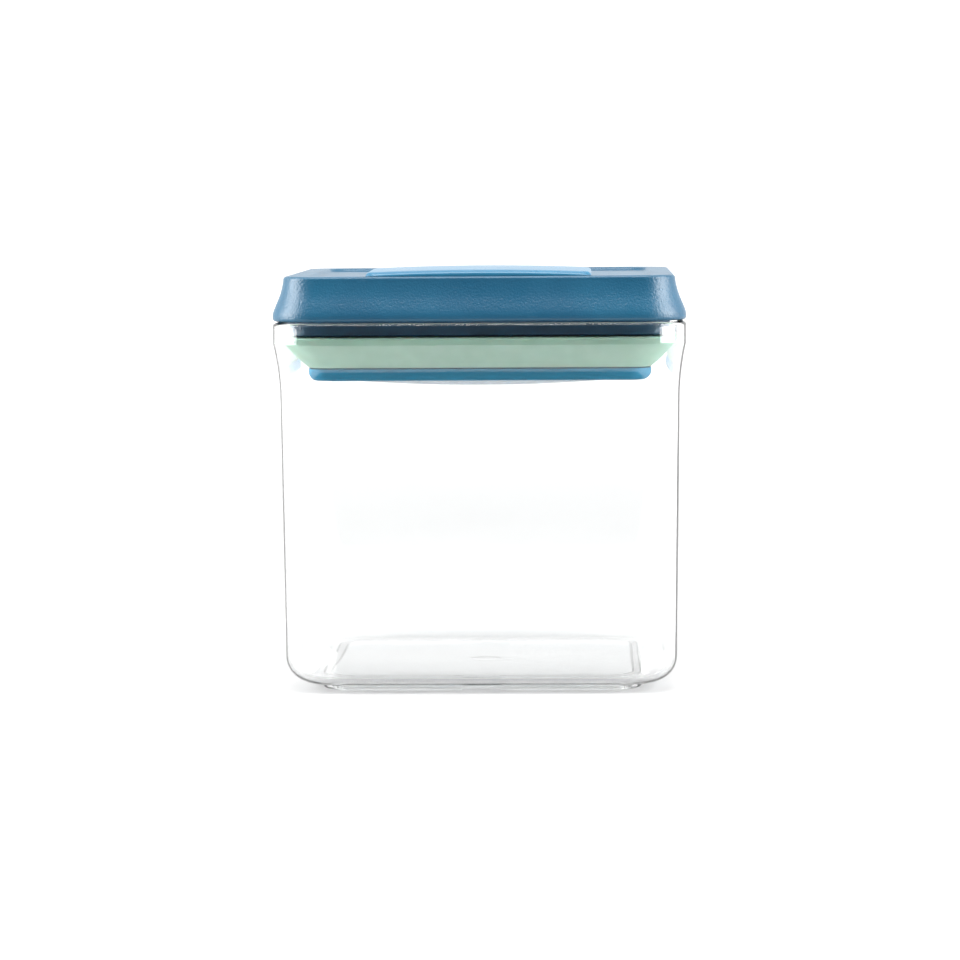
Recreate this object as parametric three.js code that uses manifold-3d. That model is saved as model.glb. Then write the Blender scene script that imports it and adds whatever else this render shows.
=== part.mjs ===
// A square storage canister with a flip-lever clamp lid: a clear jar, and a lid whose lever draws a plate
// up against a flared seal. Millimetres, +Z up, the origin at the middle of the jar's foot, the front at -Y.
import * as THREE from "three";
import { mergeVertices } from "three/addons/utils/BufferGeometryUtils.js";
import Module from "manifold-3d";

const wasm = await Module();
wasm.setup();

// Fits and facets
const TOUCH_GAP = 0.3; // between faces that touch in the real product
const SWING_GAP = 0.6; // round the lever in its channel
const CUT_OVER = 1; // how far a cutter runs past the face it cuts
const CORNER_STEPS = 6; // facets in a rounded corner
const ROUND_STEPS = 32; // facets in a small round piece
const RIGHT_ANGLE = Math.PI / 2;

// Jar
const JAR_HALF = 60; // half the width over the rim band
const JAR_HEIGHT = 107.8;
const JAR_WALL = 2.2;
const JAR_CORNER = 13; // plan radius of the corners
const RIM_BAND = 6.3; // height of the straight band at the rim
const RIM_EDGE = 0.7; // rounding of the rim's edges
const RIM_FLARE = 1.8; // how far the band stands out past the neck
const FLARE_HEIGHT = 13.5;
const WALL_DRAFT = 1.5; // from the neck down to the bottom radius
const BOTTOM_RADIUS = 10;
const FOOT_HEIGHT = 1.7;
const FOOT_WIDTH = 2.6;
const FOOT_INSET = 0.4; // the foot stands inside the flat of the base
const FOOT_CORNER = 6;
const FOOT_EDGE = 0.3;
const FLOOR_RISE = 1.2; // clearance under the floor
const FLOOR_THICKNESS = 2.6;
const NOTCH_WIDTH = 12.2;
const NOTCH_DEPTH = 0.7;
const GATE_RADIUS = 4;
const GATE_DEPTH = 0.4;

// Lid cover
const LID_LAND = 0.4; // the skirt's edge stands this far above the rim
const LID_HEIGHT = 13; // from the skirt's edge to the flat rim
const LID_WALL = 2.2;
const SKIRT_SLOPE = 3.2; // how far the skirt leans in
const SKIRT_LAND = 1.4; // height of its upright land
const SKIRT_EDGE = 0.9; // rounding of its lower edge
const TOP_EDGE = 1; // rounding of its upper edge
const RIM_WIDTH = 6.8; // the flat frame round the recess, over its rounded edge
const RECESS_DEPTH = 1;
const RECESS_SLOPE = 0.8;
const RECESS_CORNER = 6;
const POST_RADIUS = 3.5;
const POST_INSET = 17.3; // of the screws, from the collar's face

// Lid liner
const COLLAR_INSET = 4.7; // the collar's face, inside the lid's edge
const COLLAR_DROP = 4.3; // how far it hangs below the skirt's edge
const COLLAR_WALL = 2;
const COLLAR_EDGE = 0.7;
const LINER_PLATE = 2.2;
const FLANGE_RISE = 0.3; // above the skirt's edge
const FLANGE_THICKNESS = 1.8;
const RIB_HEIGHT = 2;
const RIB_WALL = 1.6;

// Clamp plate and seal
const PLATE_INSET = 10; // its edge, inside the lid's edge
const PLATE_CORNER = 7;
const PLATE_WEB = 2.2;
const PLATE_HEIGHT = 3;
const PLATE_EDGE = 2.5;
const PLATE_LEDGE = 1.3; // flat land between its rounded edge and the cap
const CAP_WALL = 1.8;
const CAP_RIM = 0.8; // thickness of the cap's flat edge
const CAP_DOME = 4;
const SEAL_HEIGHT = 8.9;
const SEAL_LIP = 0.6; // thickness of the lip that meets the jar
const SEAL_BULGE = 0.3; // how much the flare curves outwards

// Stem and its ring, washer and screws
const STEM_RADIUS = 4;
const STEM_FOOT_RADIUS = 8;
const STEM_FOOT = 1.8;
const EYE_RADIUS = 3.3;
const EYE_WIDTH = 7.4;
const RING_TUBE = 0.9;
const RING_RISE = 1.5; // the ring's groove above the collar's underside
const SCREW_RADIUS = 1.5;
const SCREW_HEAD_RADIUS = 3;
const SCREW_HEAD = 1.4;
const SCREW_SOCKET = 1.1;
const SCREW_SOCKET_DEPTH = 0.9;
const SCREW_LENGTH = 10;
const SCREW_HOLE_DEPTH = 10.5;
const WASHER_RADIUS = 5;
const WASHER = 0.6;

// Lever, cam and pin
const LEVER_WIDTH = 65.2;
const LEVER_SIDE = 1.5; // the lever's side edges stand this far above the flat rim
const LEVER_CROWN = 0.7; // and its middle this much higher
const LEVER_FALL = 0.4; // how far its top falls from the middle to the ends
const LEVER_FRONT_EDGE = 1.1;
const LEVER_SETBACK = 1; // of its front end from the lid's top edge
const LEVER_FRONT_CORNER = 2.5;
const LEVER_REAR_CORNER = 8;
const LEVER_REAR = 6.5; // its wide part ends this far in front of the pin
const CHANNEL_DEPTH = 1; // of the lever's bed below the recess
const PIN_RADIUS = 1.5;
const PIN_DROP = 1.7; // the pin's axis below the lever's bed
const CAM_LOCKED = 5.2; // the cam's reach with the lever down
const CAM_FREE = 2.7; // and with it up
const CAM_HEEL = 6; // length of the flat that locks the lever down
const CAM_STEPS = 8;
const CHEEK_OUTER = 11.5;
const EYE_CLEARANCE = 0.6; // between the eye and each cheek
const PAD_THICKNESS = 1;
const WINDOW_FRONT = 9.5;
const WINDOW_REAR = 7;
const WINDOW_MARGIN = 0.7;
const POCKET_DEPTH = 1.6;
const POCKET_RIB = 2.4;
const POCKET_COLUMNS = 3;
const POCKET_ROWS = 3;

// Heights inside the lid, from the skirt's edge
const lidSeat = JAR_HEIGHT + LID_LAND;
const recessFloor = LID_HEIGHT - RECESS_DEPTH;
const channelFloor = recessFloor - CHANNEL_DEPTH;
const coverUnderside = recessFloor - LID_WALL;
const collarBottom = -COLLAR_DROP;
const linerTop = collarBottom + LINER_PLATE;
const sealBottom = collarBottom - TOUCH_GAP - SEAL_HEIGHT;
const plateTop = sealBottom - TOUCH_GAP;
const pinHeight = channelFloor - PIN_DROP;
const padTop = pinHeight - CAM_LOCKED - TOUCH_GAP;
const padBottom = padTop - PAD_THICKNESS;
const deckTop = padBottom - TOUCH_GAP;
const camDrop = CAM_LOCKED - CAM_FREE;

// Half widths
const jarNeckHalf = JAR_HALF - RIM_FLARE;
const jarBaseHalf = jarNeckHalf - WALL_DRAFT;
const footHalf = jarBaseHalf - BOTTOM_RADIUS - FOOT_INSET;
const skirtTopHalf = JAR_HALF - SKIRT_SLOPE;
const recessHalf = skirtTopHalf - RIM_WIDTH;
const recessFloorHalf = recessHalf - RECESS_SLOPE;
const collarHalf = JAR_HALF - COLLAR_INSET;
const postPlace = collarHalf - POST_INSET;
const plateHalf = JAR_HALF - PLATE_INSET;
const capHalf = plateHalf - PLATE_EDGE - PLATE_LEDGE - TOUCH_GAP;
const sealLipHalf = JAR_HALF - JAR_WALL - TOUCH_GAP;
const ribHalf = plateHalf - PLATE_EDGE - PLATE_LEDGE;
const padHalf = CHEEK_OUTER + TOUCH_GAP;
const windowHalf = CHEEK_OUTER + WINDOW_MARGIN;
const holeRadius = SCREW_RADIUS + TOUCH_GAP;
const boreRadius = STEM_RADIUS + TOUCH_GAP;

// A closed three.js geometry as a solid that can be joined and cut.
function solid(geometry) {
  const bare = geometry.clone();
  bare.deleteAttribute("normal");
  bare.deleteAttribute("uv");
  const merged = mergeVertices(bare, 1e-4);
  const corners = merged.index.array;
  const kept = [];
  for (let i = 0; i < corners.length; i += 3) {
    const [a, b, c] = [corners[i], corners[i + 1], corners[i + 2]];
    if (a !== b && b !== c && c !== a) kept.push(a, b, c);
  }
  const vertProperties = merged.attributes.position.array;
  const triVerts = new Uint32Array(kept);
  return new wasm.Manifold(new wasm.Mesh({ numProp: 3, vertProperties, triVerts }));
}

// A solid as a named mesh with its own material.
function piece(name, body, material) {
  const { vertProperties, triVerts } = body.getMesh();
  const geometry = new THREE.BufferGeometry();
  geometry.setAttribute("position", new THREE.BufferAttribute(vertProperties, 3));
  geometry.setIndex(new THREE.BufferAttribute(triVerts, 1));
  geometry.computeVertexNormals();
  const mesh = new THREE.Mesh(geometry, material);
  mesh.name = name;
  return mesh;
}

// A square body with rounded corners from a profile of [half width, height, corner radius]: a lathe whose
// rings are pushed out to rounded squares. The profile runs up the outside.
function squareTurned(profile) {
  const perCorner = CORNER_STEPS + 1;
  const columns = 4 * perCorner;
  const outline = profile.map(([half, z]) => new THREE.Vector2(half, z));
  const geometry = new THREE.LatheGeometry(outline, columns);
  const position = geometry.getAttribute("position");
  for (let column = 0; column <= columns; column++) {
    const quarter = Math.floor(column / perCorner) % 4;
    const turn = (quarter + (column % perCorner) / CORNER_STEPS) * RIGHT_ANGLE;
    const side = (quarter + 0.5) * RIGHT_ANGLE;
    profile.forEach(([half, z, corner], row) => {
      const radius = Math.min(half, corner);
      const x = (half - radius) * Math.sign(Math.cos(side)) + radius * Math.cos(turn);
      const y = (half - radius) * Math.sign(Math.sin(side)) + radius * Math.sin(turn);
      position.setXYZ(column * profile.length + row, x, y, z);
    });
  }
  return solid(geometry);
}

// A round body about Z from a profile of [radius, height].
function turned(profile) {
  const outline = profile.map(([radius, z]) => new THREE.Vector2(radius, z));
  return solid(new THREE.LatheGeometry(outline, ROUND_STEPS).rotateX(RIGHT_ANGLE));
}

function rod(radius, bottom, top) {
  return turned([[0, bottom], [radius, bottom], [radius, top], [0, top]]);
}

// A shape drawn in X and Y, standing from one height to another.
function upright(shape, bottom, top) {
  const settings = { depth: top - bottom, bevelEnabled: false, curveSegments: CORNER_STEPS };
  return solid(new THREE.ExtrudeGeometry(shape, settings).translate(0, 0, bottom));
}

// A shape drawn in Y and Z, running along X from one place to another.
function crosswise(shape, from, to) {
  const settings = { depth: to - from, bevelEnabled: false, curveSegments: ROUND_STEPS / 2 };
  const geometry = new THREE.ExtrudeGeometry(shape, settings).translate(0, 0, from);
  const axes = [new THREE.Vector3(0, 1, 0), new THREE.Vector3(0, 0, 1), new THREE.Vector3(1, 0, 0)];
  return solid(geometry.applyMatrix4(new THREE.Matrix4().makeBasis(...axes)));
}

function box(low, high) {
  const size = high.map((value, axis) => value - low[axis]);
  const middle = high.map((value, axis) => (value + low[axis]) / 2);
  return solid(new THREE.BoxGeometry(...size).translate(...middle));
}

function outlineOf(points) {
  return new THREE.Shape(points.map(([u, v]) => new THREE.Vector2(u, v)));
}

// Points along an arc of a profile, angles in degrees from the outward direction.
function arc(centreHalf, centreZ, radius, from, to, steps) {
  return Array.from({ length: steps + 1 }, (_, i) => {
    const angle = THREE.MathUtils.degToRad(from + ((to - from) * i) / steps);
    return [centreHalf + radius * Math.cos(angle), centreZ + radius * Math.sin(angle)];
  });
}

function atCorners(place, make) {
  const signs = [[-1, -1], [1, -1], [1, 1], [-1, 1]];
  return signs.map(([x, y], i) => make(x * place, y * place, i + 1));
}

// ---------- Jar ----------

// The wall's outside, moved inwards by a wall: bottom radius, drafted side and the flare up to the band.
function jarSide(inset) {
  const middle = FOOT_HEIGHT + BOTTOM_RADIUS;
  const radius = BOTTOM_RADIUS - inset;
  const corner = JAR_CORNER - inset;
  const lowCorner = FOOT_CORNER - inset;
  const bottom = arc(jarBaseHalf - BOTTOM_RADIUS, middle, radius, -90, 0, 6).map(([half, z]) => {
    const share = (half - (jarBaseHalf - BOTTOM_RADIUS)) / radius;
    return [half, z, lowCorner + (corner - lowCorner) * share];
  });
  const bandBottom = JAR_HEIGHT - RIM_BAND;
  const flare = [0, 0.25, 0.5, 0.75, 1].map((t) => {
    const half = jarNeckHalf + RIM_FLARE * t * t - inset;
    return [half, bandBottom - FLARE_HEIGHT * (1 - t), corner];
  });
  return [...bottom, ...flare];
}

function jarRim() {
  const level = JAR_HEIGHT - RIM_EDGE;
  const innerHalf = JAR_HALF - JAR_WALL;
  const outer = arc(JAR_HALF - RIM_EDGE, level, RIM_EDGE, 0, 90, 3);
  const inner = arc(innerHalf + RIM_EDGE, level, RIM_EDGE, 90, 180, 3);
  return [...outer, ...inner].map(([half, z]) => [half, z, JAR_CORNER - (JAR_HALF - half)]);
}

function jarFoot() {
  const innerHalf = footHalf - FOOT_WIDTH;
  const innerCorner = FOOT_CORNER - FOOT_WIDTH;
  return [
    [0, FLOOR_RISE + GATE_DEPTH, 0],
    [GATE_RADIUS, FLOOR_RISE + GATE_DEPTH, GATE_RADIUS],
    [GATE_RADIUS + GATE_DEPTH, FLOOR_RISE, GATE_RADIUS + GATE_DEPTH],
    [innerHalf, FLOOR_RISE, innerCorner],
    [innerHalf + FOOT_EDGE, 0, innerCorner + FOOT_EDGE],
    [footHalf - FOOT_EDGE, 0, FOOT_CORNER - FOOT_EDGE],
    [footHalf, FOOT_EDGE, FOOT_CORNER],
    [footHalf, FOOT_HEIGHT, FOOT_CORNER],
  ];
}

function jar() {
  const floorTop = FLOOR_RISE + FLOOR_THICKNESS;
  const lift = floorTop - FOOT_HEIGHT - JAR_WALL;
  const inside = jarSide(JAR_WALL).map(([half, z, corner], i) => [half, i === 0 ? z + lift : z, corner]);
  const body = squareTurned([...jarFoot(), ...jarSide(0), ...jarRim(), ...inside.reverse(), [0, floorTop, 0]]);
  const reach = footHalf + CUT_OVER;
  const notch = box([-NOTCH_WIDTH / 2, -reach, -CUT_OVER], [NOTCH_WIDTH / 2, reach, NOTCH_DEPTH]);
  const material = new THREE.MeshStandardMaterial({ color: 0xeef4f5, roughness: 0.05, metalness: 0 });
  material.transparent = true;
  material.opacity = 0.3;
  return piece("jar", body.subtract(notch), material);
}

// ---------- Lid cover ----------

function bluePlastic(color) {
  return new THREE.MeshStandardMaterial({ color, roughness: 0.32, metalness: 0 });
}

function coverShell() {
  const corner = (half) => JAR_CORNER + half - JAR_HALF;
  const edgeHalf = skirtTopHalf - TOP_EDGE;
  const outside = [
    ...arc(JAR_HALF - SKIRT_EDGE, SKIRT_EDGE, SKIRT_EDGE, -90, 0, 3),
    [JAR_HALF, SKIRT_EDGE + SKIRT_LAND],
    ...arc(edgeHalf, LID_HEIGHT - TOP_EDGE, TOP_EDGE, 0, 90, 3),
  ].map(([half, z]) => [half, z, corner(half)]);
  const innerTopHalf = skirtTopHalf - LID_WALL;
  const underside = [
    [0, coverUnderside, 0],
    [innerTopHalf, coverUnderside, corner(innerTopHalf)],
    [JAR_HALF - LID_WALL, SKIRT_EDGE + SKIRT_LAND, corner(JAR_HALF - LID_WALL)],
    [JAR_HALF - LID_WALL, 0, corner(JAR_HALF - LID_WALL)],
  ];
  const recess = [
    [recessHalf, LID_HEIGHT, RECESS_CORNER],
    [recessFloorHalf, recessFloor, RECESS_CORNER - RECESS_SLOPE],
    [0, recessFloor, 0],
  ];
  return squareTurned([...underside, ...outside, ...recess]);
}

// The lever's outline seen from above, wide at the front with a tab over the pin.
function leverOutline(grow, front, frontCorner) {
  const half = LEVER_WIDTH / 2 + grow;
  const rear = -LEVER_REAR + grow;
  const round = LEVER_REAR_CORNER + grow;
  const shape = new THREE.Shape();
  shape.moveTo(-half + frontCorner, front);
  shape.absarc(-half + frontCorner, front + frontCorner, frontCorner, -RIGHT_ANGLE, -2 * RIGHT_ANGLE, true);
  shape.absarc(-half + round, rear - round, round, 2 * RIGHT_ANGLE, RIGHT_ANGLE, true);
  shape.lineTo(-CHEEK_OUTER, rear);
  shape.lineTo(-CHEEK_OUTER, CAM_FREE);
  shape.lineTo(CHEEK_OUTER, CAM_FREE);
  shape.lineTo(CHEEK_OUTER, rear);
  shape.absarc(half - round, rear - round, round, RIGHT_ANGLE, 0, true);
  shape.absarc(half - frontCorner, front + frontCorner, frontCorner, 0, -RIGHT_ANGLE, true);
  return shape;
}

function lidCover() {
  const bedHalf = LEVER_WIDTH / 2 + SWING_GAP + LID_WALL;
  const bedRear = LID_WALL - LEVER_REAR + SWING_GAP;
  const bedFront = recessFloorHalf + LID_WALL;
  const bedBottom = channelFloor - LID_WALL;
  const bed = box([-bedHalf, -bedFront, bedBottom], [bedHalf, bedRear, coverUnderside + CUT_OVER]);
  const postBottom = linerTop + TOUCH_GAP;
  const posts = atCorners(postPlace, (x, y) =>
    rod(POST_RADIUS, postBottom, coverUnderside + CUT_OVER).translate([x, y, 0]),
  );
  const pilots = atCorners(postPlace, (x, y) =>
    rod(holeRadius, postBottom - CUT_OVER, collarBottom + SCREW_HOLE_DEPTH).translate([x, y, 0]),
  );
  const channelShape = leverOutline(SWING_GAP, -recessFloorHalf, 0);
  const channel = upright(channelShape, channelFloor, LID_HEIGHT + CUT_OVER);
  const window = box([-windowHalf, -WINDOW_FRONT, bedBottom - CUT_OVER], [windowHalf, WINDOW_REAR, LID_HEIGHT]);
  const joined = [bed, ...posts].reduce((body, part) => body.add(part), coverShell());
  const cut = [channel, window, ...pilots].reduce((body, part) => body.subtract(part), joined);
  return piece("lid_cover", cut, bluePlastic(0x326482));
}

// ---------- Lid liner ----------

function squareRib(outerHalf, bottom, top) {
  const innerHalf = outerHalf - RIB_WALL;
  const corner = PLATE_CORNER - PLATE_EDGE;
  const innerCorner = corner - RIB_WALL;
  return squareTurned([
    [outerHalf, bottom, corner],
    [outerHalf, top, corner],
    [innerHalf, top, innerCorner],
    [innerHalf, bottom, innerCorner],
    [outerHalf, bottom, corner],
  ]);
}

// The stem's bore through the liner, with the groove that holds its ring.
function stemBore() {
  const grooveRadius = STEM_RADIUS + 2 * RING_TUBE + 2 * TOUCH_GAP;
  const grooveBottom = collarBottom + RING_RISE;
  const grooveTop = grooveBottom + 2 * RING_TUBE + 2 * TOUCH_GAP;
  return turned([
    [0, collarBottom - CUT_OVER],
    [boreRadius, collarBottom - CUT_OVER],
    [boreRadius, grooveBottom],
    [grooveRadius, grooveBottom],
    [grooveRadius, grooveTop],
    [boreRadius, grooveTop],
    [boreRadius, deckTop + CUT_OVER],
    [0, deckTop + CUT_OVER],
  ]);
}

function lidLiner() {
  const flangeHalf = JAR_HALF - LID_WALL - 2 * TOUCH_GAP;
  const innerHalf = collarHalf - COLLAR_WALL;
  const corner = (half) => JAR_CORNER + half - JAR_HALF;
  const flangeTop = FLANGE_RISE + FLANGE_THICKNESS;
  const tray = squareTurned(
    [
      [0, collarBottom],
      [collarHalf - COLLAR_EDGE, collarBottom],
      [collarHalf, collarBottom + COLLAR_EDGE],
      [collarHalf, FLANGE_RISE],
      [flangeHalf, FLANGE_RISE],
      [flangeHalf, flangeTop],
      [innerHalf, flangeTop],
      [innerHalf, linerTop],
      [0, linerTop],
    ].map(([half, z]) => [half, z, half ? corner(half) : 0]),
  );
  const deck = box([-windowHalf, -WINDOW_FRONT, collarBottom + COLLAR_EDGE], [windowHalf, WINDOW_REAR, deckTop]);
  const rib = squareRib(ribHalf, collarBottom - RIB_HEIGHT, collarBottom + COLLAR_EDGE);
  const holes = atCorners(postPlace, (x, y) =>
    rod(holeRadius, collarBottom - CUT_OVER, linerTop + CUT_OVER).translate([x, y, 0]),
  );
  const cut = [stemBore(), ...holes].reduce((body, part) => body.subtract(part), tray.add(deck).add(rib));
  return piece("lid_liner", cut, bluePlastic(0x1f4a60));
}

// The pad that the cam bears on, pierced for the stem.
function wearPad() {
  const front = WINDOW_FRONT - TOUCH_GAP;
  const rear = WINDOW_REAR - TOUCH_GAP;
  const plate = box([-padHalf, -front, padBottom], [padHalf, rear, padTop]);
  const hole = rod(boreRadius, padBottom - CUT_OVER, padTop + CUT_OVER);
  const material = new THREE.MeshStandardMaterial({ color: 0xe8e6e0, roughness: 0.4, metalness: 0 });
  return piece("wear_pad", plate.subtract(hole), material);
}

// ---------- Seal ----------

function seal() {
  const innerHalf = ribHalf + TOUCH_GAP;
  const lipCorner = JAR_CORNER - (JAR_HALF - sealLipHalf);
  const innerCorner = PLATE_CORNER - PLATE_EDGE + TOUCH_GAP;
  const flareTop = SEAL_HEIGHT - SEAL_LIP;
  const flare = [0, 0.2, 0.4, 0.6, 0.8, 1].map((t) => {
    const share = t + SEAL_BULGE * t * (1 - t);
    const half = plateHalf + (sealLipHalf - plateHalf) * share;
    return [half, flareTop * t, PLATE_CORNER + (lipCorner - PLATE_CORNER) * t];
  });
  const body = squareTurned([
    ...flare,
    [sealLipHalf - SEAL_LIP / 2, SEAL_HEIGHT, lipCorner - SEAL_LIP / 2],
    [innerHalf, SEAL_HEIGHT, innerCorner],
    [innerHalf, 0, innerCorner],
    flare[0],
  ]);
  const material = new THREE.MeshStandardMaterial({ color: 0xa4c0b4, roughness: 0.5, metalness: 0 });
  const mesh = piece("seal", body, material);
  mesh.position.z = sealBottom;
  return mesh;
}

// ---------- Clamp plate, cap and stem, from the plate's top face ----------

function clampPlate() {
  const recess = ribHalf;
  const recessCorner = PLATE_CORNER - PLATE_EDGE;
  const edge = arc(plateHalf - PLATE_EDGE, PLATE_EDGE - PLATE_HEIGHT, PLATE_EDGE, -90, 0, 5);
  const plate = squareTurned([
    [0, -PLATE_WEB, 0],
    [recess, -PLATE_WEB, recessCorner],
    [recess, -PLATE_HEIGHT, recessCorner],
    ...edge.map(([half, z]) => [half, z, PLATE_CORNER + half - plateHalf]),
    [plateHalf, 0, PLATE_CORNER],
    [0, 0, 0],
  ]);
  const rib = squareRib(ribHalf, -PLATE_WEB / 2, RIB_HEIGHT);
  const hole = rod(holeRadius, -PLATE_WEB - CUT_OVER, CUT_OVER);
  return piece("clamp_plate", plate.add(rib).subtract(hole), bluePlastic(0x4a7f9c));
}

// The dome over the plate's underside: rounder towards its middle.
function clampCap() {
  const corner = (half) => {
    const share = half / capHalf;
    return half * (1 - share) + (PLATE_CORNER - PLATE_EDGE - TOUCH_GAP) * share;
  };
  const dome = (reach, level, rise) =>
    [0, 0.2, 0.4, 0.6, 0.8, 0.92, 1].map((t) => [reach * t, level - rise * (1 - t * t), corner(reach * t)]);
  const rimTop = -PLATE_WEB - TOUCH_GAP;
  const rimBottom = -PLATE_HEIGHT;
  const innerHalf = capHalf - CAP_WALL;
  const body = squareTurned([
    ...dome(capHalf, rimBottom, CAP_DOME),
    [capHalf, rimTop, corner(capHalf)],
    [innerHalf, rimTop, corner(innerHalf)],
    ...dome(innerHalf, rimTop - CAP_RIM, CAP_DOME + rimTop - rimBottom - CAP_WALL + CAP_RIM / 2).reverse(),
  ]);
  return piece("clamp_cap", body, bluePlastic(0x4a7f9c));
}

// The stem stands on the plate; its flat-sided eye takes the lever's pin.
function drawStem() {
  const foot = TOUCH_GAP;
  const eyeHeight = pinHeight - plateTop;
  const neckBottom = eyeHeight - CAM_LOCKED;
  const shaft = turned([
    [0, foot],
    [STEM_FOOT_RADIUS, foot],
    [STEM_FOOT_RADIUS, foot + STEM_FOOT],
    [STEM_RADIUS, foot + STEM_FOOT],
    [STEM_RADIUS, neckBottom],
    [0, neckBottom],
  ]);
  const neck = new THREE.Shape();
  neck.moveTo(-EYE_RADIUS, neckBottom - CUT_OVER);
  neck.lineTo(EYE_RADIUS, neckBottom - CUT_OVER);
  neck.absarc(0, eyeHeight, EYE_RADIUS, 0, 2 * RIGHT_ANGLE, false);
  const hole = new THREE.Shape();
  hole.absarc(0, eyeHeight, PIN_RADIUS + TOUCH_GAP, 0, 4 * RIGHT_ANGLE, false);
  const envelope = rod(STEM_RADIUS, 0, eyeHeight + 2 * EYE_RADIUS);
  const eye = crosswise(neck, -EYE_WIDTH / 2, EYE_WIDTH / 2).intersect(envelope);
  const pinHole = crosswise(hole, -EYE_WIDTH, EYE_WIDTH);
  const screwHole = rod(holeRadius, foot - CUT_OVER, foot + SCREW_HOLE_DEPTH);
  const material = new THREE.MeshStandardMaterial({ color: 0xdad9d3, roughness: 0.45, metalness: 0 });
  return piece("draw_stem", shaft.add(eye).subtract(pinHole).subtract(screwHole), material);
}

function steel() {
  return new THREE.MeshStandardMaterial({ color: 0xb8bbbd, roughness: 0.3, metalness: 1 });
}

function stemWasher() {
  const ring = rod(WASHER_RADIUS, 0, WASHER);
  const mesh = piece("stem_washer", ring.subtract(rod(holeRadius, -CUT_OVER, WASHER + CUT_OVER)), steel());
  mesh.position.z = -PLATE_WEB - TOUCH_GAP - WASHER;
  return mesh;
}

// A low-headed screw, head down: its bearing face is at 0, its shank stands up from it.
function screw(name) {
  const shape = turned([
    [0, -SCREW_HEAD],
    [SCREW_HEAD_RADIUS, -SCREW_HEAD],
    [SCREW_HEAD_RADIUS, 0],
    [SCREW_RADIUS, 0],
    [SCREW_RADIUS, SCREW_LENGTH],
    [0, SCREW_LENGTH],
  ]);
  const across = SCREW_SOCKET;
  const depth = SCREW_SOCKET_DEPTH - SCREW_HEAD;
  const socket = box([-across, -across, -SCREW_HEAD - CUT_OVER], [across, across, depth]);
  return piece(name, shape.subtract(socket), steel());
}

function stemScrew() {
  const mesh = screw("stem_screw");
  mesh.position.z = -PLATE_WEB - WASHER - 2 * TOUCH_GAP;
  return mesh;
}

function stemRing() {
  const mean = STEM_RADIUS + TOUCH_GAP + RING_TUBE;
  const material = new THREE.MeshStandardMaterial({ color: 0x2a2c2d, roughness: 0.7, metalness: 0 });
  const body = solid(new THREE.TorusGeometry(mean, RING_TUBE, 8, ROUND_STEPS));
  const mesh = piece("stem_o_ring", body, material);
  mesh.position.z = collarBottom + RING_RISE + TOUCH_GAP + RING_TUBE;
  return mesh;
}

function linerScrews() {
  return atCorners(postPlace, (x, y, number) => {
    const mesh = screw(`liner_screw_${number}`);
    mesh.position.set(x, y, collarBottom - TOUCH_GAP);
    return mesh;
  });
}

// ---------- Lever, from its pin ----------

const leverFront = -(skirtTopHalf - LEVER_SETBACK);
const leverUnderside = PIN_DROP + TOUCH_GAP;
const leverSideTop = LID_HEIGHT + LEVER_SIDE - pinHeight;

// The lever's blade: flat below, its top crowned both ways and rolled over at the front.
function leverBlade() {
  const length = CAM_FREE - leverFront;
  const middle = (CAM_FREE + leverFront) / 2;
  const thickness = leverSideTop - leverUnderside;
  const geometry = new THREE.BoxGeometry(LEVER_WIDTH, length, thickness, 16, 40, 1);
  const position = geometry.getAttribute("position");
  for (let i = 0; i < position.count; i++) {
    if (position.getZ(i) < 0) continue;
    const across = position.getX(i) / (LEVER_WIDTH / 2);
    const along = position.getY(i) / (length / 2);
    const fromFront = Math.min(LEVER_FRONT_EDGE, position.getY(i) + length / 2);
    const roll = LEVER_FRONT_EDGE - Math.sqrt(LEVER_FRONT_EDGE ** 2 - (LEVER_FRONT_EDGE - fromFront) ** 2);
    const crown = LEVER_CROWN * (1 - across ** 2) - LEVER_FALL * along ** 2;
    position.setZ(i, position.getZ(i) + crown - roll);
  }
  return solid(geometry.translate(0, middle, leverUnderside + thickness / 2));
}

// A cam cheek seen from the side. Its tangent height falls evenly as the lever turns, so the drop of the
// stem is in a constant ratio to the lever's angle.
function camOutline() {
  const rate = -camDrop / RIGHT_ANGLE;
  const rim = Array.from({ length: CAM_STEPS + 1 }, (_, i) => {
    const angle = (RIGHT_ANGLE * i) / CAM_STEPS;
    const reach = CAM_LOCKED + rate * angle;
    const [sine, cosine] = [Math.sin(angle), Math.cos(angle)];
    return [reach * sine + rate * cosine, -reach * cosine + rate * sine];
  });
  const top = leverUnderside + CUT_OVER;
  return outlineOf([[-CAM_HEEL, top], [-CAM_HEEL, -CAM_LOCKED], ...rim, [CAM_FREE, top]]);
}

// Pockets that lighten the blade from below, between ribs.
function leverPockets() {
  const front = -recessFloorHalf + 2 * POCKET_RIB;
  const rear = -WINDOW_FRONT - POCKET_RIB;
  const pitchX = (LEVER_WIDTH - 2 * POCKET_RIB) / POCKET_COLUMNS;
  const pitchY = (rear - front) / POCKET_ROWS;
  const pockets = [];
  for (let column = 0; column < POCKET_COLUMNS; column++) {
    for (let row = 0; row < POCKET_ROWS; row++) {
      const x = pitchX * (column - POCKET_COLUMNS / 2);
      const y = front + pitchY * row;
      const low = [x + POCKET_RIB / 2, y + POCKET_RIB / 2, leverUnderside - CUT_OVER];
      const high = [x + pitchX - POCKET_RIB / 2, y + pitchY - POCKET_RIB / 2, leverUnderside + POCKET_DEPTH];
      pockets.push(box(low, high));
    }
  }
  return pockets;
}

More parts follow.
